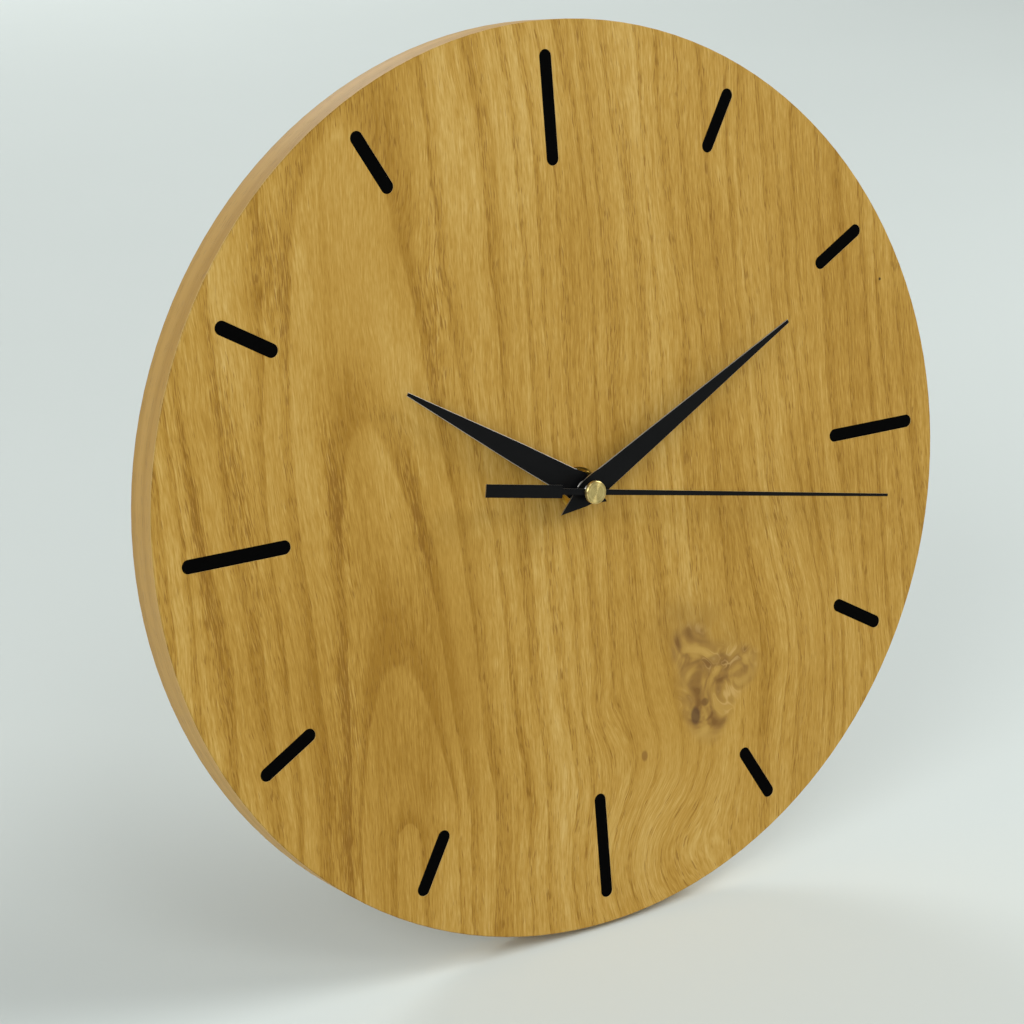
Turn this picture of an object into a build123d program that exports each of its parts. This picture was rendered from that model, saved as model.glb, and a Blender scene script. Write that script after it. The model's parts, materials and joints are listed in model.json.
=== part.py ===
from build123d import *
import math
import os

# A round oak wall clock with a quartz movement let into the back of its board.
#
# Everything is drawn in the dial frame, in millimetres: X to the right, Y up the dial and
# Z out of the wall towards the room, with Z = 0 at the wall and the hand axis at X = Y = 0.
# The last section turns the finished pieces so that up is +Z and the dial looks along -Y.
# Depths are distances out of the wall. Gear positions are worked out from the tooth counts.

# ---------------------------------------------------------------- driving dimensions
# Board
board_radius = 150.0
board_thickness = 15.0
wall_gap = 4.0            # the bumpers hold the board this far off the wall
veneer_thickness = 0.6
band_thickness = 0.8
edge_break = 0.35         # small chamfer round the face and back
shaft_hole_radius = 4.1
glue_gap = 0.03

# Hour marks, round-ended black bars let into the face
mark_width = 4.5
mark_outer_radius = 141.0
long_mark = 36.5
short_mark = 22.5
mark_thickness = 1.2
mark_recess = 0.2

# Hands: clockwise angles from twelve, in degrees, and lengths from the hand axis
hour_angle = 303.4
minute_angle = 62.4
second_angle = 100.4
hour_length = 74.5
minute_length = 94.5
second_length = 122.5
hour_tip_width = 1.2
hour_middle = (30.0, 7.0)    # distance from the hand axis, and the width there
hour_shoulder_width = 9.6
hour_tail = 9.5
minute_tip_width = 1.3
minute_middle = (30.0, 6.5)
minute_shoulder_width = 8.5
minute_tail = 13.0
blade_thickness = 0.5
blade_bevel = 0.12
second_blade_thickness = 0.35
second_tip_width = 0.95
second_root_width = 1.85
neck_width = 2.0
counterweight_width = 4.25
counterweight_start = 12.3   # distances from the hand axis
counterweight_end = 41.0
cap_radius = 3.75
cap_thickness = 1.25
cap_bevel = 0.25

# Collets: tubes riveted through the hour and minute hands
hour_collet_radius = 3.4
minute_collet_radius = 2.6
hour_collet_depth = 0.85
minute_collet_depth = 1.0
collet_wall = 0.45
rivet_overhang = 0.35        # the rivet rim spreads this far past the tube
rivet_height = 0.3
second_tube_radius = 1.1
second_tube_depth = 1.4

# Movement case
case_size = 56.0
case_wall = 1.2
case_corner = 2.5
case_front = 15.5         # depth of the outside of the front wall
bay_wall_low = -12.0      # lower and upper side of the wall over the battery bay
bay_wall_high = -11.3
pocket_size = 60.0
gasket_thickness = 0.5

# Shaft nut and washer, for a 7.8 mm threaded bushing
bushing_radius = 3.9
bushing_bore = 2.55
bushing_end = 22.2
nut_flats = 11.0
nut_thickness = 2.2
washer_radius = 7.0
washer_thickness = 0.6

# Pipes and arbors, from the middle outwards
seconds_arbor_radius = 0.5
minute_pipe_bore = 0.58
minute_pipe_radius = 1.5
hour_pipe_bore = 1.55
hour_pipe_radius = 2.5
pivot_radius = 0.3
pivot_hole = 0.35
arbor_radius = 0.5
knob_arbor_radius = 1.2
knob_radius = 5.0

# Gear teeth: counts and modules
rotor_teeth, intermediate_teeth, fast_module = 10, 50, 0.26
intermediate_pinion, seconds_teeth, seconds_module = 10, 60, 0.34
seconds_pinion, third_teeth, third_module = 10, 75, 0.288
third_pinion, centre_teeth, centre_module = 10, 80, 0.272
cannon_teeth, minute_teeth, minute_module = 14, 42, 0.30
minute_pinion, hour_teeth, hour_module = 12, 48, 0.28
knob_teeth = 21

# Directions in which the gear centres lie, anticlockwise from +X in degrees
intermediate_direction = 60.0
rotor_direction = 20.0    # seen from the intermediate wheel
third_direction = 160.0
minute_wheel_direction = -30.0
knob_direction = 20.0     # seen from the minute wheel

# Depths of the layers inside the movement
train_plate = (1.9, 2.7)
magnet_layer = (3.0, 5.2)
stator_layer = (3.7, 4.5)
core_layer = (4.5, 5.3)
middle_plate = (8.4, 9.0)
board_layer = (12.6, 13.4)   # the circuit board

# Coil
coil_height = 22.5
coil_depth = 4.9
coil_left, coil_right = -14.0, 16.5
bobbin_radius = 2.0
winding_radius = 3.2
flange_radius = 3.4

# AA cell
cell_radius = 7.0
cell_depth = 7.15
cell_height = -19.4
cell_half_length = 25.2
cell_nub_radius = 2.7
cell_nub_length = 1.2
strip_thickness = 0.3

# Keyhole hanger
hanger_height = 110.0     # middle of the round entry hole
hanger_size = (52.0, 20.0)
hanger_thickness = 1.2
hanger_entry_radius = 4.5
hanger_slot_radius = 2.2
hanger_slot_rise = 7.8
hanger_screw_spacing = 40.0
hanger_screw_radius = 1.5
hanger_screw_length = 9.0
hanger_recess = (18.0, 17.0, 8.0)

# Bumpers
bumper_radius = 6.0
bumper_circle = 128.0
bumper_angles = (150.0, 210.0)

# ---------------------------------------------------------------- derived depths
back = wall_gap
face = wall_gap + board_thickness
core_back = back + veneer_thickness
core_front = face - veneer_thickness
core_radius = board_radius - band_thickness
case_half = case_size / 2
cavity_half = case_half - case_wall
cavity_front = case_front - case_wall
pocket_floor = case_front + gasket_thickness
washer_front = face + washer_thickness
nut_front = washer_front + nut_thickness
hour_blade = 23.45
minute_blade = 26.1
second_blade = 29.0
hour_pipe_end = 24.3
minute_pipe_end = 27.1
seconds_arbor_end = 29.2

nodes = {}


# ---------------------------------------------------------------- drawing helpers
def disc(radius, start, end, at=(0.0, 0.0)):
    """A round bar between two depths."""
    bottom = (Align.CENTER, Align.CENTER, Align.MIN)
    return Pos(at[0], at[1], start) * Cylinder(radius, end - start, align=bottom)


def ring(outer, inner, start, end, at=(0.0, 0.0)):
    """A round bar with a hole through it."""
    return disc(outer, start, end, at) - disc(inner, start - 1, end + 1, at)


def block(left, right, low, high, start, end):
    """A box given by its sides."""
    bottom = (Align.MIN, Align.MIN, Align.MIN)
    return Pos(left, low, start) * Box(right - left, high - low, end - start, align=bottom)


def rounded(width, height, corner, start, end, at=(0.0, 0.0)):
    """A box with rounded corners, seen from the front."""
    return Pos(at[0], at[1], start) * extrude(RectangleRounded(width, height, corner), end - start)


def polar(distance, degrees, centre=(0.0, 0.0)):
    """A point at a distance and an anticlockwise direction from a centre."""
    angle = math.radians(degrees)
    return (centre[0] + distance * math.cos(angle), centre[1] + distance * math.sin(angle))


def clock_point(distance, degrees):
    """A point at a distance from the hand axis and a clockwise angle from twelve."""
    return polar(distance, 90.0 - degrees)


def point_to(part, degrees):
    """Turn a piece drawn pointing at twelve to a clockwise angle."""
    return Rot(0, 0, -degrees) * part


# ---------------------------------------------------------------- board
def capsule(width, length, middle, start, end):
    """A round-ended bar that lies along Y, with its middle at a height."""
    return Pos(0, middle, start) * extrude(Rot(0, 0, 90) * SlotOverall(length, width), end - start)


def mark_length(hour):
    return long_mark if hour % 3 == 0 else short_mark


def mark_pocket(hour):
    length = mark_length(hour)
    middle = mark_outer_radius - length / 2
    pocket = capsule(mark_width, length, middle, face - mark_thickness - mark_recess, face + 1)
    return point_to(pocket, 30 * hour)


def hour_mark(hour):
    length = mark_length(hour)
    middle = mark_outer_radius - length / 2
    floor = face - mark_thickness - mark_recess
    bar = capsule(mark_width - 2 * glue_gap, length - 2 * glue_gap, middle, floor, face - mark_recess)
    return point_to(bar, 30 * hour)


def keyhole(start, end):
    entry = disc(hanger_entry_radius, start, end, (0, hanger_height))
    shank = disc(hanger_slot_radius, start, end, (0, hanger_height + hanger_slot_rise))
    slot = block(-hanger_slot_radius, hanger_slot_radius, hanger_height,
                 hanger_height + hanger_slot_rise, start, end)
    return entry + slot + shank


def hanger_outline(start, end):
    return rounded(*hanger_size, 3.0, start, end, (0, hanger_height + 1))


def hanger_screw_places():
    return [(side * hanger_screw_spacing / 2, hanger_height + 1) for side in (-1, 1)]


def board_core():
    core = disc(core_radius, core_back, core_front)
    core -= rounded(pocket_size, pocket_size, 3.0, core_back - 1, pocket_floor)
    core -= disc(shaft_hole_radius, pocket_floor - 1, core_front + 1)
    core -= hanger_outline(core_back - 1, back + hanger_thickness)
    width, height, depth = hanger_recess
    recess_front = back + hanger_thickness + depth
    core -= rounded(width, height, 2.0, core_back, recess_front, (0, hanger_height + 1.5))
    for place in hanger_screw_places():
        core -= disc(hanger_screw_radius, core_back, back + hanger_screw_length + 1, place)
    for hour in range(1, 13):
        core -= mark_pocket(hour)
    return core


def face_veneer():
    skin = disc(board_radius, core_front, face)
    rim = skin.edges().filter_by(GeomType.CIRCLE).sort_by(Axis.Z)[-1]
    skin = chamfer(rim, edge_break)
    skin -= disc(shaft_hole_radius, core_front - 1, face + 1)
    for hour in range(1, 13):
        skin -= mark_pocket(hour)
    return skin


def back_veneer():
    skin = disc(board_radius, back, core_back)
    rim = skin.edges().filter_by(GeomType.CIRCLE).sort_by(Axis.Z)[0]
    skin = chamfer(rim, edge_break)
    skin -= rounded(pocket_size, pocket_size, 3.0, back - 1, core_back + 1)
    skin -= hanger_outline(back - 1, core_back + 1)
    return skin


def hanger_plate():
    plate = hanger_outline(back, back + hanger_thickness) - keyhole(back - 1, back + 3)
    for place in hanger_screw_places():
        sink = Cone(hanger_screw_radius * 2 + 0.1, hanger_screw_radius + 0.1, hanger_thickness)
        plate -= Pos(*place, back + hanger_thickness / 2) * sink
    return plate


def hanger_screws():
    screws = []
    for place in hanger_screw_places():
        head = Pos(*place, back + hanger_thickness / 2) * Cone(
            hanger_screw_radius * 2, hanger_screw_radius, hanger_thickness)
        shank = disc(hanger_screw_radius, back + 1, back + hanger_screw_length, place)
        screw = head + shank
        for turn in (0, 90):
            cross = Rot(0, 0, turn) * Box(3.2, 0.7, 1.2)
            screw -= Pos(*place, back) * cross
        screws.append(screw)
    return Compound(children=screws)


def wall_bumpers():
    bumpers = []
    for angle in bumper_angles:
        pad = disc(bumper_radius, 0, back, clock_point(bumper_circle, angle))
        rim = pad.edges().filter_by(GeomType.CIRCLE).sort_by(Axis.Z)[0]
        bumpers.append(fillet(rim, 1.2))
    return Compound(children=bumpers)


nodes["board_core"] = board_core()
nodes["face_veneer"] = face_veneer()
nodes["back_veneer"] = back_veneer()
nodes["edge_band"] = ring(board_radius, core_radius, core_back, core_front)
for hour in range(1, 13):
    nodes[f"hour_mark_{hour:02d}"] = hour_mark(hour)
nodes["hanger_plate"] = hanger_plate()
nodes["hanger_screws"] = hanger_screws()
nodes["wall_bumpers"] = wall_bumpers()


# ---------------------------------------------------------------- shaft fastening
def hex_nut():
    blank = extrude(RegularPolygon(nut_flats / 2, 6, major_radius=False), nut_thickness)
    nut = Pos(0, 0, washer_front) * blank
    across_corners = nut_flats / math.cos(math.pi / 6) / 2
    crown = disc(across_corners - 0.05, washer_front, nut_front)
    crown = chamfer(crown.edges().filter_by(GeomType.CIRCLE), 0.4)
    return (nut & crown) - disc(bushing_radius, face, bushing_end + 1)


def threaded_bushing():
    flange_start = cavity_front - 1.0
    tube = disc(5.5, flange_start, cavity_front) + disc(bushing_radius, flange_start, bushing_end)
    rim = tube.edges().filter_by(GeomType.CIRCLE).sort_by(Axis.Z)[-1]
    tube = chamfer(rim, 0.3)
    return tube - disc(bushing_bore, flange_start - 1, bushing_end + 1)


nodes["hex_nut"] = hex_nut()
nodes["shaft_washer"] = ring(washer_radius, bushing_radius + 0.1, face, washer_front)
nodes["case_gasket"] = (rounded(54.0, 54.0, 2.0, case_front, pocket_floor)
                        - disc(bushing_radius + 0.4, case_front - 1, pocket_floor + 1))
nodes["threaded_bushing"] = threaded_bushing()


# ---------------------------------------------------------------- gear teeth
addendum = 0.8
dedendum = 1.1
tooth_share = 0.43        # tooth width over tooth pitch, which leaves running backlash
pressure_angle = math.radians(20)


def involute(angle):
    return math.tan(angle) - angle


def tooth_half_angle(teeth, module, radius):
    """Half the angle that a tooth spans at a radius. Below the base circle it is constant."""
    base = teeth * module / 2 * math.cos(pressure_angle)
    half = math.pi * tooth_share / teeth + involute(pressure_angle)
    return half if radius <= base else half - involute(math.acos(base / radius))


def gear(teeth, module, phase, start, end, at=(0.0, 0.0), bore=0.0):
    """A spur gear whose first tooth points along phase, in degrees."""
    pitch = teeth * module / 2
    root, tip = pitch - dedendum * module, pitch + addendum * module
    radii = [root, tip] if teeth > 20 else [root, pitch * math.cos(pressure_angle), pitch, tip]
    outline = []
    for tooth in range(teeth):
        middle = math.radians(phase) + 2 * math.pi * tooth / teeth
        sides = [(-1, radius) for radius in radii] + [(1, radius) for radius in reversed(radii)]
        for side, radius in sides:
            angle = middle + side * tooth_half_angle(teeth, module, radius)
            outline.append((radius * math.cos(angle), radius * math.sin(angle)))
    wheel = Pos(at[0], at[1], start) * extrude(make_face(Polyline(outline, close=True)), end - start)
    return wheel - disc(bore, start - 1, end + 1, at) if bore else wheel


def meshed_phase(teeth, other_teeth, other_phase, direction):
    """Phase that puts a gap of this gear on a tooth of the other, seen along direction from it."""
    share = (direction - other_phase) * other_teeth / 360
    return direction + 180 - (0.5 - share) * 360 / teeth


def gear_distance(teeth, other_teeth, module):
    return (teeth + other_teeth) * module / 2


intermediate_at = polar(gear_distance(seconds_teeth, intermediate_pinion, seconds_module),
                        intermediate_direction)
rotor_at = polar(gear_distance(intermediate_teeth, rotor_teeth, fast_module),
                 rotor_direction, intermediate_at)
third_at = polar(gear_distance(seconds_pinion, third_teeth, third_module), third_direction)
minute_wheel_at = polar(gear_distance(cannon_teeth, minute_teeth, minute_module),
                        minute_wheel_direction)
knob_at = polar(gear_distance(minute_teeth, knob_teeth, minute_module),
                knob_direction, minute_wheel_at)
plate_pivots = (rotor_at, intermediate_at, third_at)
post_places = ((-23.6, -9.5), (23.6, -9.5), (23.6, 9.0), (-23.6, 17.0))
motor_screw_places = ((-18.75, 23.2), (20.5, 23.2))


# ---------------------------------------------------------------- movement case
snap_places = ((-21.0, 0), (21.0, 0), (2.0, 90), (2.0, -90))   # place along an edge, edge's turn


def snap_box(along, turn, width, inner, outer, start, end):
    """A box across the case wall at the top edge, turned to the edge that it belongs to."""
    place = along if turn != -90 else -along
    return Rot(0, 0, turn) * block(place - width / 2, place + width / 2, inner, outer, start, end)


def front_case():
    case = rounded(case_size, case_size, case_corner, 0, case_front)
    case -= block(-cavity_half, cavity_half, -cavity_half, cavity_half, -1, cavity_front)
    case += block(-cavity_half, cavity_half, bay_wall_low, bay_wall_high, case_wall, cavity_front)
    for side in (-1, 1):
        edge = side * (cavity_half - 0.3)
        case -= block(edge - 0.31, edge + 0.31, bay_wall_low - 1, bay_wall_high + 1, 10.8, cavity_front)
    for place in post_places:
        case += disc(1.5, middle_plate[1], cavity_front, place)
    for place in post_places[:2]:
        case += disc(2.0, board_layer[1], cavity_front, place)
    for place, depth in ((minute_wheel_at, 12.6), (knob_at, 12.6)):
        case += disc(1.5, depth, cavity_front, place)
        case -= disc(pivot_hole, depth - 1, cavity_front + 0.5, place)
    for along, turn in snap_places:
        case -= snap_box(along, turn, 5.0, cavity_half - 0.5, case_half + 1, 1.5, 2.8)
    return case - disc(bushing_radius + glue_gap, cavity_front - 1, case_front + 1)


def rear_cover():
    fit = 0.1
    cover = block(-cavity_half + fit, cavity_half - fit, bay_wall_low, cavity_half - fit, 0, case_wall)
    for place in post_places:
        cover += disc(1.5, case_wall, train_plate[0], place)
    cover += disc(7.0, 0, train_plate[1], knob_at)
    cover -= disc(6.2, -1, train_plate[0], knob_at)
    cover -= disc(knob_arbor_radius + 0.05, 0, train_plate[1] + 1, knob_at)
    for along, turn in snap_places:
        cover += snap_box(along, turn, 4.6, cavity_half - 1.3, cavity_half - fit, 1.0, 2.6)
        cover += snap_box(along, turn, 4.6, cavity_half - 0.3, case_half - 0.4, 1.6, 2.6)
    return cover


nodes["movement_case"] = front_case()
nodes["rear_cover"] = rear_cover()


# ---------------------------------------------------------------- plates of the movement
plate_half = 25.3


def rear_train_plate():
    start, end = train_plate
    plate = block(-plate_half, plate_half, -11.2, 18.6, start, end)
    for place in post_places:
        plate += disc(1.5, end, middle_plate[0], place)
    for place in plate_pivots + ((0.0, 0.0),):
        plate -= disc(pivot_hole, start - 1, end + 1, place)
    return plate - disc(7.1, start - 1, end + 1, knob_at)


def front_train_plate():
    start, end = middle_plate
    plate = block(-plate_half, plate_half, -11.2, 26.0, start, end)
    for place in motor_screw_places:
        plate += disc(1.8, core_layer[1], start, place)
        plate -= disc(0.8, core_layer[1] - 1, start - 0.4, place)
    for place in plate_pivots + (minute_wheel_at,):
        plate -= disc(pivot_hole, start - 1, end + 1, place)
    plate -= disc(knob_arbor_radius + 0.05, start - 1, end + 1, knob_at)
    return plate - disc(minute_pipe_radius + 0.05, start - 1, end + 1)


nodes["rear_train_plate"] = rear_train_plate()
nodes["middle_plate"] = front_train_plate()


# ---------------------------------------------------------------- stepping motor
def along_x(radius, left, right):
    bar = Rot(0, 90, 0) * Cylinder(radius, right - left)
    return Pos((left + right) / 2, coil_height, coil_depth) * bar


def stator():
    start, end = stator_layer
    plate = disc(5.4, start, end, rotor_at)
    plate += block(-21.0, rotor_at[0], 15.3, 18.8, start, end)
    plate += block(-21.0, -16.5, 15.3, 25.0, start, end)
    plate += block(rotor_at[0], 22.5, 11.5, 16.0, start, end)
    plate += block(18.5, 22.5, 11.5, 25.0, start, end)
    plate -= disc(3.6, start - 1, end + 1, rotor_at)
    for turn in (35, 215):
        plate -= disc(0.45, start - 1, end + 1, polar(3.6, turn, rotor_at))
    for place in motor_screw_places:
        plate -= disc(0.8, start - 1, end + 1, place)
    return plate


def coil_core():
    start, end = core_layer
    core = block(-21.0, 22.5, coil_height - 1.5, coil_height + 1.5, start, end)
    core += block(-21.0, -16.5, 20.5, 25.0, start, end)
    core += block(18.5, 22.5, 20.5, 25.0, start, end)
    for place in motor_screw_places:
        core -= disc(0.8, start - 1, end + 1, place)
    return core


def coil_bobbin():
    bobbin = along_x(bobbin_radius, coil_left - 0.8, coil_right + 0.8)
    bobbin += along_x(flange_radius, coil_left - 0.8, coil_left)
    bobbin += along_x(flange_radius, coil_right, coil_right + 0.8)
    slot = block(-21.0, 22.5, coil_height - 1.53, coil_height + 1.53, core_layer[0] - 0.02,
                 core_layer[1] + 0.02)
    return bobbin - slot


def motor_screws():
    screws = []
    for place in motor_screw_places:
        screw = disc(1.5, stator_layer[0] - 0.8, stator_layer[0], place)
        screw += disc(0.8, stator_layer[0], middle_plate[0] - 0.5, place)
        slot = Pos(*place, stator_layer[0] - 0.8) * Box(3.2, 0.5, 0.7)
        screws.append(screw - slot)
    return Compound(children=screws)


nodes["motor_stator"] = stator()
nodes["coil_core"] = coil_core()
nodes["coil_bobbin"] = coil_bobbin()
nodes["coil_winding"] = (along_x(winding_radius, coil_left, coil_right)
                         - along_x(bobbin_radius, coil_left - 1, coil_right + 1))
nodes["motor_screws"] = motor_screws()


# ---------------------------------------------------------------- circuit and battery
def circuit_board():
    start, end = board_layer
    board = block(-26.2, 26.2, -11.2, -7.6, start, end)
    board += block(-26.2, -9.0, -11.2, 14.0, start, end)
    for place in post_places[:2]:
        board -= disc(1.55, start - 1, end + 1, place)
    return board


def crystal_can():
    middle = Pos(-13.0, 4.0, board_layer[0] - 1.0)
    can = middle * Rot(90, 0, 0) * Cylinder(1.0, 6.0)
    return fillet(can.edges().filter_by(GeomType.CIRCLE), 0.2)


def aa_cell():
    lower, upper = -cell_half_length, cell_half_length - cell_nub_length
    can = Rot(0, 90, 0) * Cylinder(cell_radius, upper - lower)
    can = fillet(can.edges().filter_by(GeomType.CIRCLE), 0.6)
    nub = Pos(upper - (lower + upper) / 2 + cell_nub_length / 2, 0, 0) * Rot(0, 90, 0) * Cylinder(
        cell_nub_radius, cell_nub_length)
    return Pos((lower + upper) / 2, cell_height, cell_depth) * (can + nub)


def contact_strip(side):
    """The strip on one end wall of the bay, with a tail that reaches the circuit board."""
    inner, outer = cavity_half - strip_thickness, cavity_half
    strip = block(inner, outer, -25.5, -12.6, 1.5, 13.0)
    strip += block(inner, outer, -12.7, -9.0, 11.0, board_layer[1] + strip_thickness)
    strip += block(25.8, outer, -10.9, -9.0, board_layer[1], board_layer[1] + strip_thickness)
    return strip if side > 0 else mirror(strip, about=Plane.YZ)


def negative_contact():
    foot, peak, half = -cavity_half + strip_thickness, -cell_half_length, 5.0
    outer = ThreePointArc((foot, cell_height - half), (peak, cell_height), (foot, cell_height + half))
    inner = ThreePointArc((foot - 0.15, cell_height + half - 1), (peak - strip_thickness, cell_height),
                          (foot - 0.15, cell_height - half + 1))
    ends = [Line(outer @ 1, inner @ 0), Line(inner @ 1, outer @ 0)]
    leaf = Pos(0, 0, cell_depth - 3) * extrude(make_face([outer, inner] + ends), 6.0)
    return contact_strip(-1) + leaf


def positive_contact():
    height = cavity_half - strip_thickness - cell_half_length
    pad = Rot(0, 90, 0) * Cylinder(2.2, height)
    return contact_strip(1) + Pos(cell_half_length + height / 2, cell_height, cell_depth) * pad


nodes["circuit_board"] = circuit_board()
nodes["clock_chip"] = block(-20.0, -15.5, 1.5, 6.5, board_layer[0] - 1.2, board_layer[0])
nodes["crystal_can"] = crystal_can()
nodes["aa_cell"] = aa_cell()
nodes["negative_contact"] = negative_contact()
nodes["positive_contact"] = positive_contact()


# ---------------------------------------------------------------- moving train
def turned(steps, at=(0.0, 0.0)):
    """An arbor turned in steps, each a radius with its start and end depth."""
    bar = disc(*steps[0], at)
    for step in steps[1:]:
        bar += disc(*step, at)
    return bar


pivot_start = train_plate[0]
shoulder = train_plate[1] + 0.1
front_shoulder = middle_plate[0] - 0.1
seconds_phase = 0.0
seconds_pinion_phase = 9.0
cannon_phase = 0.0
intermediate_pinion_phase = meshed_phase(intermediate_pinion, seconds_teeth, seconds_phase,
                                         intermediate_direction)
rotor_phase = meshed_phase(rotor_teeth, intermediate_teeth, 0.0, rotor_direction)
third_phase = meshed_phase(third_teeth, seconds_pinion, seconds_pinion_phase, third_direction)
centre_phase = meshed_phase(centre_teeth, third_pinion, 0.0, third_direction + 180)
minute_wheel_phase = meshed_phase(minute_teeth, cannon_teeth, cannon_phase, minute_wheel_direction)
knob_phase = meshed_phase(knob_teeth, minute_teeth, minute_wheel_phase, knob_direction)
hour_phase = meshed_phase(hour_teeth, minute_pinion, 0.0, minute_wheel_direction + 180)


def rotor_pinion():
    steps = [(pivot_radius, pivot_start, shoulder), (0.8, shoulder, 5.4),
             (arbor_radius, 6.5, front_shoulder), (pivot_radius, front_shoulder, middle_plate[1])]
    return turned(steps, rotor_at) + gear(rotor_teeth, fast_module, rotor_phase, 5.4, 6.5, rotor_at)


def intermediate_wheel():
    steps = [(pivot_radius, pivot_start, shoulder), (arbor_radius, shoulder, 3.9),
             (0.8, 5.3, 5.6), (arbor_radius, 6.3, front_shoulder),
             (pivot_radius, front_shoulder, middle_plate[1])]
    wheel = turned(steps, intermediate_at)
    wheel += gear(intermediate_pinion, seconds_module, intermediate_pinion_phase, 3.9, 5.3,
                  intermediate_at)
    return wheel + gear(intermediate_teeth, fast_module, 0.0, 5.6, 6.3, intermediate_at)


def seconds_wheel():
    steps = [(pivot_radius, pivot_start, shoulder), (arbor_radius, shoulder, 4.2),
             (1.2, 5.0, 5.2), (seconds_arbor_radius, 6.6, seconds_arbor_end)]
    wheel = turned(steps) + gear(seconds_teeth, seconds_module, seconds_phase, 4.2, 5.0)
    return wheel + gear(seconds_pinion, third_module, seconds_pinion_phase, 5.2, 6.6)


def third_wheel():
    steps = [(pivot_radius, pivot_start, shoulder), (arbor_radius, shoulder, 5.5),
             (0.9, 6.2, 6.4), (arbor_radius, 8.2, front_shoulder),
             (pivot_radius, front_shoulder, middle_plate[1])]
    wheel = turned(steps, third_at)
    wheel += gear(third_teeth, third_module, third_phase, 5.5, 6.2, third_at)
    return wheel + gear(third_pinion, centre_module, 0.0, 6.4, 8.2, third_at)


def cannon_pinion():
    pinion = gear(cannon_teeth, minute_module, cannon_phase, 9.2, 10.8)
    pipe = disc(minute_pipe_radius, 7.2, minute_pipe_end)
    return pinion + pipe - disc(minute_pipe_bore, 6, minute_pipe_end + 1)


def minute_wheel():
    steps = [(pivot_radius, middle_plate[0], 9.1), (0.8, 9.1, 9.6), (0.8, 10.4, 10.6),
             (arbor_radius, 12.2, 12.5), (pivot_radius, 12.5, 14.6)]
    wheel = turned(steps, minute_wheel_at)
    wheel += gear(minute_teeth, minute_module, minute_wheel_phase, 9.6, 10.4, minute_wheel_at)
    return wheel + gear(minute_pinion, hour_module, 0.0, 10.6, 12.2, minute_wheel_at)


def hour_wheel():
    wheel = gear(hour_teeth, hour_module, hour_phase, 11.0, 11.8)
    wheel += disc(hour_pipe_radius, 11.0, hour_pipe_end)
    return wheel - disc(hour_pipe_bore, 10, hour_pipe_end + 1)


def setting_knob():
    knob = disc(knob_radius, 0.3, 1.7, knob_at)
    for flute in range(24):
        knob -= disc(0.35, 0, 2, polar(knob_radius, 15 * flute, knob_at))
    knob -= block(knob_at[0] - 3.0, knob_at[0] + 3.0, knob_at[1] - 0.4, knob_at[1] + 0.4, 0, 0.8)
    steps = [(knob_arbor_radius, 1.7, 10.4), (pivot_radius, 10.4, 14.6)]
    return knob + turned(steps, knob_at)


nodes["rotor_pinion"] = rotor_pinion()
nodes["rotor_magnet"] = ring(3.0, 0.8, *magnet_layer, rotor_at)
nodes["intermediate_wheel"] = intermediate_wheel()
nodes["seconds_wheel"] = seconds_wheel()
nodes["third_wheel"] = third_wheel()
nodes["centre_wheel"] = gear(centre_teeth, centre_module, centre_phase, 7.2, 8.0,
                             bore=minute_pipe_radius)
nodes["cannon_pinion"] = cannon_pinion()
nodes["minute_wheel"] = minute_wheel()
nodes["hour_wheel"] = hour_wheel()
nodes["setting_knob"] = setting_knob()
nodes["setting_gear"] = gear(knob_teeth, minute_module, knob_phase, 9.6, 10.4, knob_at,
                             bore=knob_arbor_radius)


# ---------------------------------------------------------------- hands
def leaf_hand(length, tip, middle, shoulder_width, tail, bore, start):
    """A flat hand: narrow at the tip, widest at the hub, with a short pointed tail.

    middle is a (distance, width) pair on the long taper."""
    waist = shoulder_width / 2
    right = [(tip / 2, length), (middle[1] / 2, middle[0]), (waist * 0.96, 6.0)]
    left = [(-x, y) for x, y in reversed(right)]
    bend = (waist, 0.5)
    hip = (waist * 0.78, -tail * 0.32)
    blade = Polyline([left[-1], *right])
    closing = [ThreePointArc(right[2], bend, hip), Line(hip, (0.0, -tail)),
               Line((0.0, -tail), (-hip[0], hip[1])),
               ThreePointArc((-hip[0], hip[1]), (-bend[0], bend[1]), left[0]),
               Polyline(left)]
    flat = extrude(make_face([blade] + closing), blade_thickness)
    long_edges = [edge for edge in flat.faces().sort_by(Axis.Z)[-1].edges() if edge.length > 20]
    flat = chamfer(long_edges, blade_bevel)
    return Pos(0, 0, start) * flat - disc(bore + collet_wall, start - 1, start + 2)


def collet(radius, bore, depth, blade_start):
    """A tube with a foot under the blade and a riveted rim over it."""
    blade_front = blade_start + blade_thickness
    rim_front = blade_front + rivet_height
    rim = disc(bore + collet_wall + rivet_overhang, blade_front, rim_front)
    rim = chamfer(rim.edges().filter_by(GeomType.CIRCLE).sort_by(Axis.Z)[-1], rivet_height * 0.7)
    tube = disc(radius, blade_start - depth, blade_start)
    tube += disc(bore + collet_wall, blade_start, blade_front)
    return tube + rim - disc(bore, blade_start - depth - 1, rim_front + 1)


def sweep_hand():
    """Thin tapering bar with a rectangular counterweight on a narrow neck."""
    half = [(second_tip_width / 2, second_length), (second_root_width / 2, 3.0), (neck_width / 2, -3.0),
            (neck_width / 2, -counterweight_start), (counterweight_width / 2, -counterweight_start),
            (counterweight_width / 2, -counterweight_end)]
    outline = half + [(-x, y) for x, y in reversed(half)]
    blade = extrude(make_face(Polyline(outline, close=True)), second_blade_thickness)
    blade += disc(2.2, 0, second_blade_thickness)
    return Pos(0, 0, second_blade) * blade - disc(
        seconds_arbor_radius, second_blade - 1, second_blade + 1)


def second_cap():
    top = second_blade + second_blade_thickness + cap_thickness
    cap = disc(cap_radius, second_blade + second_blade_thickness, top)
    return chamfer(cap.edges().sort_by(Axis.Z)[-1], cap_bevel)


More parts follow.
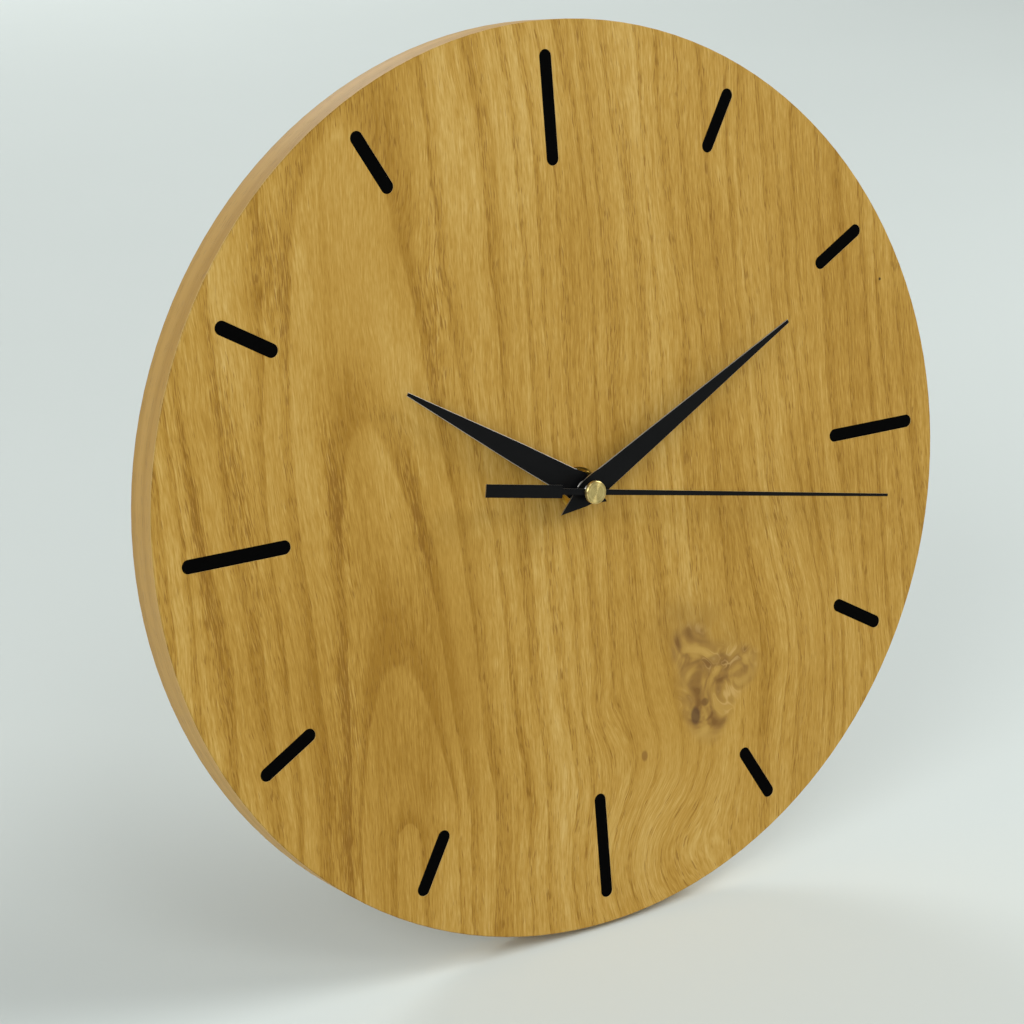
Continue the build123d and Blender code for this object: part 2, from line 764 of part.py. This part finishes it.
hour_blade_part = leaf_hand(hour_length, hour_tip_width, hour_middle, hour_shoulder_width, hour_tail,
                            hour_pipe_radius, hour_blade)
minute_blade_part = leaf_hand(minute_length, minute_tip_width, minute_middle, minute_shoulder_width,
                              minute_tail, minute_pipe_radius, minute_blade)
nodes["hour_hand"] = point_to(hour_blade_part, hour_angle)
nodes["hour_collet"] = collet(hour_collet_radius, hour_pipe_radius, hour_collet_depth, hour_blade)
nodes["minute_hand"] = point_to(minute_blade_part, minute_angle)
nodes["minute_collet"] = collet(minute_collet_radius, minute_pipe_radius, minute_collet_depth,
                                 minute_blade)
nodes["second_hand"] = point_to(sweep_hand(), second_angle)
nodes["second_tube"] = ring(second_tube_radius, seconds_arbor_radius, second_blade - second_tube_depth,
                            second_blade)
nodes["second_cap"] = second_cap()

# ---------------------------------------------------------------- turn upright and write
os.makedirs("parts", exist_ok=True)
upright = Rot(90, 0, 0)
for name, part in nodes.items():
    export_step(upright * part, f"parts/{name}.step")
print(len(nodes), "nodes written")
for label, place in (("rotor", rotor_at), ("intermediate", intermediate_at), ("third", third_at),
                     ("minute wheel", minute_wheel_at), ("knob", knob_at)):
    print(label, "axis at X", round(place[0], 4), "Z", round(place[1], 4))
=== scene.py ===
import json
import math

import bpy
from mathutils import Matrix, Vector


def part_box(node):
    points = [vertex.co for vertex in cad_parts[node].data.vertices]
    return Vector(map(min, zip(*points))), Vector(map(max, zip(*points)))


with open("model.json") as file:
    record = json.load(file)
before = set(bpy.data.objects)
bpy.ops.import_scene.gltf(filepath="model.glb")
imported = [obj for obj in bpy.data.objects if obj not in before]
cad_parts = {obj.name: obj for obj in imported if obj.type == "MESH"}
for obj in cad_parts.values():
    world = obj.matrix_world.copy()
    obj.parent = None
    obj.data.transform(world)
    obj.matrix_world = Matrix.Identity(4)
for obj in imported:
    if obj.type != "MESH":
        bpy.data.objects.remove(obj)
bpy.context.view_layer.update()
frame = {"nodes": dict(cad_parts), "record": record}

# Oak wall clock. The frame is in metres: X right seen from the front, Z up the dial,
# the dial looks along -Y. Material fields are worked out in millimetres of object space.
MM = 0.001
RIM_RADIUS = 150.0          # millimetres
WIRE_PITCH = 0.12           # millimetres from turn to turn of the coil's winding
BAND_START = 9.9            # where the cell's copper-coloured band begins along X
CELL_POSITIVE_END = 23.6    # bare metal lies beyond these two places along the cell
CELL_NEGATIVE_END = -24.8
LEAN_DEGREES = 8.4          # how far the clock leans back on its rim
COOL = (0.975, 1.0, 1.0)    # the lamps' colour
LENS = 90.25                # millimetres, on a sensor 36 mm wide
CAMERA_PLACE = (-0.4375, -0.7102, 0.1688)
CAMERA_TARGET = (-0.0253, -0.0190, -0.0035)
nodes = frame["nodes"]
scene = bpy.context.scene
scene.view_settings.view_transform = "Standard"


# ---------------------------------------------------------------- node helpers
class Graph:
    """A material's node tree with short calls for the nodes that the materials share."""

    def __init__(self, name):
        self.material = bpy.data.materials.new(name)
        self.material.use_nodes = True
        self.tree = self.material.node_tree
        self.shader = self.tree.nodes["Principled BSDF"]
        self.position = self.add("ShaderNodeTexCoord").outputs["Object"]

    def add(self, kind, **settings):
        node = self.tree.nodes.new(kind)
        for key, value in settings.items():
            setattr(node, key, value)
        return node

    def feed(self, socket, value):
        """Link a socket, or set it when the value is a plain number or tuple."""
        if isinstance(value, bpy.types.NodeSocket):
            self.tree.links.new(value, socket)
        else:
            socket.default_value = value

    def math(self, kind, *values):
        node = self.add("ShaderNodeMath", operation=kind)
        for socket, value in zip(node.inputs, values):
            self.feed(socket, value)
        return node.outputs[0]

    def plus(self, *values):
        total = values[0]
        for value in values[1:]:
            total = self.math("ADD", total, value)
        return total

    def minus(self, a, b):
        return self.math("SUBTRACT", a, b)

    def times(self, *values):
        total = values[0]
        for value in values[1:]:
            total = self.math("MULTIPLY", total, value)
        return total

    def over(self, a, b):
        return self.math("DIVIDE", a, b)

    def squared(self, a):
        return self.math("MULTIPLY", a, a)

    def step(self, value, low, high, out_low=0.0, out_high=1.0):
        """Smooth change from out_low to out_high as value goes from low to high."""
        node = self.add("ShaderNodeMapRange", interpolation_type="SMOOTHSTEP")
        for key, number in (("From Min", low), ("From Max", high),
                            ("To Min", out_low), ("To Max", out_high)):
            node.inputs[key].default_value = number
        self.feed(node.inputs["Value"], value)
        return node.outputs["Result"]

    def vector(self, x, y=0.0, z=0.0):
        node = self.add("ShaderNodeCombineXYZ")
        for socket, value in zip(node.inputs, (x, y, z)):
            self.feed(socket, value)
        return node.outputs[0]

    def millimetres(self):
        """Object coordinates as three outputs, X, Y and Z, in millimetres."""
        scaled = self.add("ShaderNodeVectorMath", operation="SCALE")
        self.feed(scaled.inputs[0], self.position)
        scaled.inputs["Scale"].default_value = 1 / MM
        parts = self.add("ShaderNodeSeparateXYZ")
        self.feed(parts.inputs[0], scaled.outputs[0])
        return parts.outputs

    def facing(self):
        """1 where the surface looks along Y, front or back, and 0 on edges."""
        parts = self.add("ShaderNodeSeparateXYZ")
        geometry = self.add("ShaderNodeNewGeometry")
        self.feed(parts.inputs[0], geometry.outputs["True Normal"])
        return self.math("ABSOLUTE", parts.outputs[1])

    def noise(self, vector, detail=2.0, rough=0.5, scale=1.0, distortion=0.0):
        node = self.add("ShaderNodeTexNoise")
        self.feed(node.inputs["Vector"], vector)
        node.inputs["Scale"].default_value = scale
        node.inputs["Detail"].default_value = detail
        node.inputs["Roughness"].default_value = rough
        node.inputs["Distortion"].default_value = distortion
        return node.outputs["Fac"]

    def ramp(self, factor, *stops):
        """Colours at places along 0 to 1, blended in straight lines between them."""
        node = self.add("ShaderNodeValToRGB")
        elements = node.color_ramp.elements
        while len(elements) < len(stops):
            elements.new(0.5)
        for element, (place, colour) in zip(elements, stops):
            element.position = place
            element.color = (*colour, 1.0)
        self.feed(node.inputs[0], factor)
        return node.outputs[0]

    def mix(self, factor, a, b):
        """Colour a where the factor is 0 and colour b where it is 1."""
        node = self.add("ShaderNodeMix", data_type="RGBA", blend_type="MIX")
        self.feed(node.inputs["Factor"], factor)
        for socket, value in ((node.inputs[6], a), (node.inputs[7], b)):
            self.feed(socket, (*value, 1.0) if isinstance(value, tuple) else value)
        return node.outputs[2]

    def bump(self, height, distance, strength):
        """Surface relief of the given depth in metres."""
        node = self.add("ShaderNodeBump")
        node.inputs["Strength"].default_value = strength
        node.inputs["Distance"].default_value = distance
        self.feed(node.inputs["Height"], height)
        self.feed(self.shader.inputs["Normal"], node.outputs[0])

    def set(self, **values):
        """Set the shader's sockets; an underscore stands for a space."""
        for key, value in values.items():
            self.feed(self.shader.inputs[key.replace("_", " ")], value)
        return self.material


def srgb(red, green, blue):
    """A colour given as 0 to 255 display values, as the linear colour that shaders take."""
    def linear(value):
        value /= 255
        return value / 12.92 if value <= 0.04045 else ((value + 0.055) / 1.055) ** 2.4
    return (linear(red), linear(green), linear(blue))


# ---------------------------------------------------------------- wood
def smooth_hill(g, x, z, centre, radii):
    """A smooth hill of height 1 at a centre, with radii across and along the grain."""
    across = g.squared(g.over(g.minus(x, centre[0]), radii[0]))
    along = g.squared(g.over(g.minus(z, centre[1]), radii[1]))
    return g.math("EXPONENT", g.times(g.plus(across, along), -1.0))


def oak_face():
    """Flat-sawn oak: straight rings and a knot on the right, an arch of rings on the left.

    Places on the face are in millimetres from the hand axis.
    """
    g = Graph("oak_face")
    x, _, z = g.millimetres()

    def hill(*shape):
        """A hill given as its centre X and Z, then its radius across and along the grain."""
        return smooth_hill(g, x, z, shape[:2], shape[2:])

    # Grain coordinate: X, which drifts slowly and is pushed aside round the knot
    drift = g.noise(g.vector(g.times(x, 0.012), 3.0, g.times(z, 0.007)), detail=1.0)
    ripple = g.noise(g.vector(g.times(x, 0.09), 7.0, g.times(z, 0.03)), detail=2.0)
    grain = g.plus(x, g.times(g.minus(drift, 0.5), 18.0), g.times(g.minus(ripple, 0.5), 3.5))
    grain = g.plus(grain, g.times(hill(80.0, -70.0, 26.0, 42.0), -13.0),
                   g.times(hill(28.0, -132.0, 24.0, 34.0), 9.0),
                   g.times(hill(5.0, -77.0, 6.0, 10.0), 3.2))
    lean = g.times(g.step(x, -132.0, -80.0, 0.06, 0.0), g.minus(z, 40.0))
    sweep = g.times(hill(20.0, -118.0, 30.0, 26.0), g.plus(z, 118.0), -0.6)
    grain = g.plus(grain, lean, sweep)

    # Growth rings: distance from a pith that rises towards the surface down the board
    pith_depth = g.times(g.math("MAXIMUM", g.plus(z, 100.0), 0.0), 5.5)
    radius = g.math("SQRT", g.plus(g.squared(g.plus(grain, 74.0)), pith_depth, 4.0))
    uneven = g.noise(g.vector(g.times(radius, 0.07), 1.0, g.times(z, 0.004)), detail=1.0)
    ring = g.math("FRACT", g.plus(g.over(g.squared(radius), g.times(g.plus(radius, 20.0), 8.0)),
                                   g.times(uneven, 2.2), 0.1))
    early = g.times(g.step(ring, 0.0, 0.08), g.step(ring, 0.14, 0.6, 1.0, 0.0))

    # Where the wood is plain, and where the pores crowd together
    quiet = g.math("MINIMUM", 1.0, g.plus(
        hill(-50.0, -36.0, 9.5, 56.0), g.times(hill(-66.0, 76.0, 24.0, 34.0), 0.8),
        g.times(hill(24.0, -84.0, 16.0, 22.0), 0.75), g.times(hill(48.0, -84.0, 24.0, 34.0), 0.7),
        g.times(hill(-88.0, -10.0, 50.0, 120.0), 0.3)))
    busy_places = ((-99.0, 82.0, 5.0, 22.0), (-94.0, -52.0, 5.0, 24.0), (-119.0, 20.0, 3.5, 44.0),
                   (-136.0, 0.0, 3.0, 40.0), (-60.0, -6.0, 3.0, 36.0), (-87.0, 8.0, 3.0, 30.0),
                   (-47.0, 66.0, 4.0, 34.0), (-101.0, -96.0, 5.0, 30.0))
    busy = g.math("MINIMUM", 1.0, g.plus(
        *[smooth_hill(g, grain, z, place[:2], place[2:]) for place in busy_places]))

    # Pores are short dark dashes along the grain, thick on the ground in the early wood
    pore_field = g.noise(g.vector(g.times(grain, 2.5), 5.0, g.times(z, 0.19)), detail=1.5)
    want = g.plus(0.66, g.times(early, -0.11), g.times(busy, -0.16), g.times(quiet, 0.08))
    pores = g.step(g.minus(pore_field, want), -0.015, 0.075)
    line_field = g.noise(g.vector(g.times(grain, 1.6), 9.0, g.times(z, 0.11)), rough=0.6)
    hair = g.noise(g.vector(g.times(grain, 2.9), 6.0, g.times(z, 0.3)), detail=1.5, rough=0.55)
    streak = g.noise(g.vector(g.times(grain, 0.5), 2.0, g.times(z, 0.018)), detail=3.0, rough=0.55)
    tone = g.noise(g.vector(g.times(grain, 0.045), 4.0, g.times(z, 0.007)))

    # Broad pale and deep areas
    pale = g.plus(hill(-12.0, -118.0, 44.0, 34.0), hill(-4.0, 122.0, 52.0, 34.0))
    deep = g.plus(hill(-78.0, -62.0, 30.0, 52.0), hill(112.0, -20.0, 32.0, 60.0))

    # The early wood shows as darker bands, fainter on the right and faintest low on the right
    band_depth = g.plus(g.step(x, -50.0, 20.0, -0.24, -0.15),
                        g.times(hill(40.0, -122.0, 40.0, 30.0), 0.08))
    calm = g.minus(1.0, g.times(quiet, 0.6))
    shade = g.plus(0.56, g.times(g.minus(line_field, 0.5), g.plus(calm, busy), 1.05),
                   g.times(g.minus(hair, 0.5), 0.62),
                   g.times(g.minus(streak, 0.5), calm, 0.6),
                   g.times(g.minus(tone, 0.5), 0.9),
                   g.times(early, band_depth),
                   g.times(quiet, -0.06),
                   g.times(busy, -0.14),
                   g.times(g.minus(pale, deep), 0.12))
    colour = g.ramp(shade, (0.12, srgb(153, 111, 33)), (0.5, srgb(177, 136, 57)),
                    (0.75, srgb(191, 153, 77)), (1.0, srgb(203, 168, 98)))
    colour = g.mix(g.times(pores, 0.56), colour, srgb(122, 80, 20))

    # Smoky shadow above the knot, then the knot itself: a body of lumps with pale curls over them
    smoke = g.noise(g.vector(g.times(x, 0.06), 0.0, g.times(z, 0.07)), detail=3.0)
    shadow = g.plus(hill(40.0, -52.0, 13.0, 9.0), hill(50.0, -68.0, 14.0, 10.0))
    smoky = g.times(g.math("MINIMUM", 1.0, shadow), g.step(smoke, 0.35, 0.65, 0.35, 1.0))
    colour = g.mix(g.times(smoky, 0.62), colour, srgb(144, 107, 42))
    body = g.math("MINIMUM", 1.0, g.plus(
        hill(40.0, -61.0, 8.0, 8.0), hill(47.0, -75.0, 13.0, 11.0),
        hill(61.0, -73.0, 8.0, 7.0), hill(46.0, -88.0, 9.0, 10.0)))
    fold = g.noise(g.vector(g.times(x, 0.085), 4.0, g.times(z, 0.085)), distortion=1.4)
    lump = g.ramp(fold, (0.32, srgb(116, 80, 34)), (0.44, srgb(142, 105, 48)),
                  (0.55, srgb(168, 130, 60)), (0.70, srgb(182, 145, 72)))
    contour = g.math("ABSOLUTE", g.minus(g.math("FRACT", g.times(fold, 6.0)), 0.5))
    curls = g.times(g.step(contour, 0.0, 0.22, 1.0, 0.0), g.step(smoke, 0.42, 0.6))
    lump = g.mix(g.times(curls, 0.55), lump, srgb(206, 170, 106))
    colour = g.mix(g.step(body, 0.25, 0.75, 0.0, 0.92), colour, lump)

    # Dark hearts of the knot, and two pin knots away from it
    spots = (((40.8, -86.5, 2.2, 3.6), srgb(84, 56, 34), 0.8),
             ((45.0, -82.5, 1.8, 1.6), srgb(104, 70, 32), 0.7),
             ((51.0, -69.0, 6.5, 2.4), srgb(120, 84, 40), 0.5),
             ((19.0, -95.7, 1.4, 2.1), srgb(132, 92, 36), 0.75),
             ((130.0, 51.5, 0.55, 0.6), srgb(50, 34, 20), 0.9))
    for shape, dark, depth in spots:
        colour = g.mix(g.times(g.step(hill(*shape), 0.25, 0.7), depth), colour, dark)

    # The veneer's cut edge shows as a thin pale line round the face
    cut = g.step(g.facing(), 0.3, 0.7, 1.0, 0.0)
    colour = g.mix(g.times(cut, 0.8), colour, srgb(226, 192, 128))

    g.bump(g.plus(g.times(pores, -1.0), g.times(line_field, 0.25)), 0.12 * MM, 0.4)
    rough = g.plus(0.52, g.times(pores, 0.2))
    return g.set(Base_Color=colour, Roughness=rough, Specular_IOR_Level=0.2)


def oak_strip(name, light, dark, around_rim):
    """Plain oak: grain runs up the back, or round the rim for the edge band."""
    g = Graph(name)
    x, y, z = g.millimetres()
    if around_rim:
        along = g.times(g.math("ARCTAN2", x, z), RIM_RADIUS)
        across = y
    else:
        along, across = z, x
    band = g.noise(g.vector(g.times(across, 0.16), g.times(along, 0.006), 4.0), detail=3.0)
    fibre = g.noise(g.vector(g.times(across, 1.5), g.times(along, 0.05), 1.0),
                    detail=3.0, rough=0.65)
    pore = g.noise(g.vector(g.times(across, 2.8), g.times(along, 0.17), 8.0))
    colour = g.mix(g.step(band, 0.3, 0.7), dark, light)
    colour = g.mix(g.times(g.step(fibre, 0.5, 0.85), 0.4), colour, srgb(220, 184, 118))
    pores = g.step(pore, 0.57, 0.70)
    colour = g.mix(g.times(pores, 0.35), colour, srgb(124, 84, 44))
    g.bump(g.times(pores, -1.0), 0.1 * MM, 0.4)
    return g.set(Base_Color=colour, Roughness=0.5, Specular_IOR_Level=0.35)


def fibreboard():
    """Brown board of pressed fibres, seen where it is cut."""
    g = Graph("fibreboard")
    speck = g.noise(g.position, detail=5.0, rough=0.7, scale=900.0)
    colour = g.ramp(speck, (0.35, srgb(120, 88, 56)), (0.65, srgb(170, 134, 92)))
    g.bump(speck, 0.15 * MM, 0.6)
    return g.set(Base_Color=colour, Roughness=0.85)


# ---------------------------------------------------------------- metals, plastics, paint
def painted(name, colour, roughness, grain):
    """Paint or moulded plastic: an even colour with fine mottling and a slight texture."""
    g = Graph(name)
    speck = g.noise(g.position, detail=4.0, rough=0.6, scale=1400.0)
    wear = g.noise(g.position, detail=3.0, scale=60.0)
    tint = g.mix(g.times(g.step(wear, 0.3, 0.8), 0.25), colour,
                 tuple(min(1.0, c * 1.35 + 0.004) for c in colour))
    g.bump(speck, 0.02 * MM, grain)
    rough = g.plus(roughness, g.times(g.minus(wear, 0.5), 0.12))
    return g.set(Base_Color=tint, Roughness=rough)


def metal(name, colour, roughness, brushed):
    """Bare metal with fine drawn lines along X and slightly uneven polish."""
    g = Graph(name)
    x, y, z = g.millimetres()
    lines = g.noise(g.vector(g.times(x, 0.3), g.times(y, 9.0), g.times(z, 9.0)), detail=3.0)
    stain = g.noise(g.position, detail=3.0, scale=200.0)
    tint = g.mix(g.times(stain, 0.35), colour, tuple(c * 0.72 for c in colour))
    g.bump(lines, 0.02 * MM, brushed)
    rough = g.plus(roughness, g.times(g.minus(lines, 0.5), 0.15))
    return g.set(Base_Color=tint, Roughness=rough, Metallic=1.0)


def turned_brass():
    """Brass with the fine rings that a lathe leaves round the hand axis."""
    g = Graph("turned_brass")
    x, _, z = g.millimetres()
    radius = g.math("SQRT", g.plus(g.squared(x), g.squared(z)))
    groove = g.noise(g.vector(g.times(radius, 3.2)), rough=0.6)
    colour = g.ramp(groove, (0.3, srgb(186, 156, 84)), (0.7, srgb(236, 216, 150)))
    g.bump(groove, 0.03 * MM, 0.5)
    tangent = g.add("ShaderNodeTangent", direction_type="RADIAL", axis="Y")
    g.tree.links.new(tangent.outputs[0], g.shader.inputs["Tangent"])
    return g.set(Base_Color=colour, Roughness=0.34, Metallic=1.0, Anisotropic=0.92,
                 Anisotropic_Rotation=0.25)


def hand_paint():
    """Satin black paint on pressed aluminium, whose cut edges are left bare."""
    g = Graph("hand_paint")
    speck = g.noise(g.position, detail=4.0, rough=0.6, scale=1400.0)
    wear = g.noise(g.position, detail=3.0, scale=90.0)
    edge = g.step(g.facing(), 0.75, 0.9, 1.0, 0.0)
    paint = g.mix(wear, (0.0025, 0.0025, 0.0028), (0.0045, 0.0045, 0.0048))
    colour = g.mix(edge, paint, srgb(186, 182, 176))
    g.bump(speck, 0.02 * MM, 0.2)
    rough = g.plus(0.32, g.times(wear, 0.12))
    return g.set(Base_Color=colour, Roughness=rough, Metallic=g.times(edge, 0.9),
                 Specular_IOR_Level=0.10)


def copper_wire():
    """Enamelled wire wound in close turns along X, with painted shade between the turns and a
    painted highlight along each turn.
    """
    g = Graph("copper_wire")
    x, _, _ = g.millimetres()
    turns = g.math("SINE", g.times(x, 2 * math.pi / WIRE_PITCH))
    # The colour is painted light: darker painted shade in the grooves between turns, and a lighter
    # painted highlight on each turn's crest.
    colour = g.mix(g.step(turns, -0.6, 0.8), srgb(120, 58, 28), srgb(214, 128, 78))
    g.bump(turns, 0.03 * MM, 0.8)
    return g.set(Base_Color=colour, Roughness=0.3, Metallic=0.9)


def cell_sleeve():
    """A plain printed sleeve: dark, with a copper-coloured band at the positive end."""
    g = Graph("cell_sleeve")
    x, _, _ = g.millimetres()
    soft = 0.1
    scuff = g.noise(g.position, detail=4.0, scale=300.0)
    sleeve = g.mix(g.step(x, BAND_START - soft, BAND_START + soft),
                   srgb(34, 40, 48), srgb(190, 122, 64))
    end = g.math("MAXIMUM",
                 g.step(x, CELL_POSITIVE_END - soft, CELL_POSITIVE_END + soft),
                 g.step(x, CELL_NEGATIVE_END - soft, CELL_NEGATIVE_END + soft, 1.0, 0.0))
    colour = g.mix(end, sleeve, srgb(190, 192, 192))
    colour = g.mix(g.times(g.step(scuff, 0.6, 0.8), 0.2), colour, srgb(220, 216, 205))
    rough = g.plus(0.28, g.times(scuff, 0.15))
    return g.set(Base_Color=colour, Roughness=rough, Metallic=g.times(end, 1.0))


def solder_mask():
    """Green lacquer over copper tracks, which run in squares of one track width."""
    g = Graph("solder_mask")
    x, _, z = g.millimetres()
    track_width = 0.8
    squares = g.vector(g.math("SNAP", x, track_width), 0.0, g.math("SNAP", z, track_width))
    track = g.noise(squares, scale=0.4)
    colour = g.mix(g.step(track, 0.5, 0.56), srgb(18, 74, 40), srgb(36, 110, 62))
    return g.set(Base_Color=colour, Roughness=0.3)


def flat_black():
    """Black with almost no gloss."""
    g = Graph("flat_black")
    speck = g.noise(g.position, detail=3.0, scale=1200.0)
    colour = g.mix(speck, (0.0006, 0.0006, 0.0006), (0.0018, 0.0018, 0.0018))
    return g.set(Base_Color=colour, Roughness=0.9, Specular_IOR_Level=0.02)


materials = {
    "oak_face": oak_face(),
    "oak_back": oak_strip("oak_back", srgb(190, 152, 92), srgb(160, 122, 66), False),
    "oak_edge": oak_strip("oak_edge", srgb(208, 163, 86), srgb(190, 145, 70), True),
    "board_fibre": fibreboard(),
    "mark_black": flat_black(),
    "hand_black": hand_paint(),
    "turned_brass": turned_brass(),
    "hanger_steel": metal("hanger_steel", srgb(200, 202, 200), 0.34, 0.3),
    "black_rubber": painted("black_rubber", srgb(32, 32, 33), 0.75, 0.8),
    "case_black": painted("case_black", srgb(30, 31, 33), 0.5, 0.8),
    "knob_white": painted("knob_white", srgb(226, 224, 214), 0.45, 0.4),
    "plate_grey": painted("plate_grey", srgb(150, 153, 154), 0.5, 0.4),
    "gear_nylon": painted("gear_nylon", srgb(232, 230, 220), 0.4, 0.3),
    "magnet_ferrite": painted("magnet_ferrite", srgb(52, 52, 56), 0.45, 0.6),
    "motor_iron": metal("motor_iron", srgb(150, 152, 156), 0.38, 0.5),
    "bobbin_plastic": painted("bobbin_plastic", srgb(210, 202, 176), 0.45, 0.3),
    "copper_wire": copper_wire(),
    "board_green": solder_mask(),
    "chip_black": painted("chip_black", srgb(24, 24, 26), 0.6, 0.8),
    "can_steel": metal("can_steel", srgb(212, 214, 216), 0.22, 0.2),
    "cell_jacket": cell_sleeve(),
    "spring_nickel": metal("spring_nickel", srgb(206, 202, 190), 0.25, 0.2),
}

# Every node takes the material of its slot; the brass that isn't turned is duller
dull_brass = metal("dull_brass", srgb(206, 168, 74), 0.3, 0.5)
for entry in frame["record"]["subparts"]:
    part = nodes[entry["node"]]
    part.data.materials.clear()
    part.data.materials.append(materials[entry["material_slot"]])
for name in ("shaft_washer", "hex_nut", "threaded_bushing"):
    nodes[name].data.materials[0] = dull_brass


# ---------------------------------------------------------------- stage, camera and light
# The clock leans back on its rim, so the room's upright is tilted from the dial's Z.
lean = math.radians(LEAN_DEGREES)
room_up = Vector((0.0, -math.sin(lean), math.cos(lean)))
room_back = Vector((0.0, math.cos(lean), math.sin(lean)))
room_right = Vector((1.0, 0.0, 0.0))
board_low, board_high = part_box("back_veneer")
rest_point = Vector((0.0, board_high[1], board_low[2]))
room = Matrix((room_right, room_back, room_up)).transposed()


def in_room(x, y, z):
    """A point given in room directions from the spot that the rim rests on."""
    return rest_point + room @ Vector((x, y, z))


def aim(thing, target):
    """Turn a light or camera towards a point, upright in the room."""
    forward = (Vector(target) - thing.location).normalized()
    right = forward.cross(room_up).normalized()
    thing.rotation_euler = Matrix((right, right.cross(forward), -forward)).transposed().to_euler()


def sweep_floor():
    """A floor that curves up into a backdrop far behind the clock."""
    half_width, near, bend, radius, top = 4.0, -2.5, 3.6, 1.6, 3.0
    steps = 12
    profile = [(near, 0.0), (0.0, 0.0), (bend, 0.0)]
    for index in range(1, steps + 1):
        turn = math.pi / 2 * index / steps
        profile.append((bend + radius * math.sin(turn), radius * (1 - math.cos(turn))))
    profile.append((bend + radius, top))
    points = [in_room(side * half_width, back, height)
              for back, height in profile for side in (-1, 1)]
    faces = [(2 * i, 2 * i + 1, 2 * i + 3, 2 * i + 2) for i in range(len(profile) - 1)]
    mesh = bpy.data.meshes.new("floor")
    mesh.from_pydata(points, [], faces)
    for face in mesh.polygons:
        face.use_smooth = True
    floor = bpy.data.objects.new("floor", mesh)
    scene.collection.objects.link(floor)
    g = Graph("pale_floor")
    mottle = g.noise(g.position, detail=3.0, scale=3.0)
    tint = g.mix(mottle, srgb(214, 220, 217), srgb(218, 224, 221))
    mesh.materials.append(g.set(Base_Color=tint, Roughness=0.7, Specular_IOR_Level=0.2))


def add_camera():
    """A long lens from the left and a little above, which frames the whole dial."""
    data = bpy.data.cameras.new("camera")
    data.sensor_width = 36.0
    data.lens = LENS
    data.clip_end = 50.0
    camera = bpy.data.objects.new("camera", data)
    camera.location = CAMERA_PLACE
    scene.collection.objects.link(camera)
    aim(camera, CAMERA_TARGET)
    scene.camera = camera


def add_light(name, place, target, size, watts):
    """A round soft light at a place in the room, turned towards the target."""
    data = bpy.data.lights.new(name, "AREA")
    data.shape = "DISK"
    data.size = size
    data.energy = watts
    data.color = COOL
    light = bpy.data.objects.new(name, data)
    light.location = in_room(*place)
    scene.collection.objects.link(light)
    aim(light, target)


sweep_floor()
add_camera()
dial = (0.0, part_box("face_veneer")[0][1], 0.0)
add_light("right_softbox", (2.0, -0.8, 1.5), dial, 1.4, 43.5)
add_light("left_softbox", (-1.9, -1.2, 1.3), dial, 1.4, 25.0)
add_light("front_softbox", (-0.3, -1.8, 2.2), dial, 1.0, 10.2)
add_light("front_fill", (-0.5, -2.6, 1.3), dial, 1.2, 7.0)
add_light("backdrop_light", (0.6, 3.6, 2.4), in_room(0.6, 3.4, 0.0), 2.0, 68.0)

world = bpy.data.worlds.new("room")
scene.world = world
world.use_nodes = True
background = world.node_tree.nodes["Background"]
background.inputs["Color"].default_value = (0.97, 1.0, 0.99, 1.0)
background.inputs["Strength"].default_value = 0.245
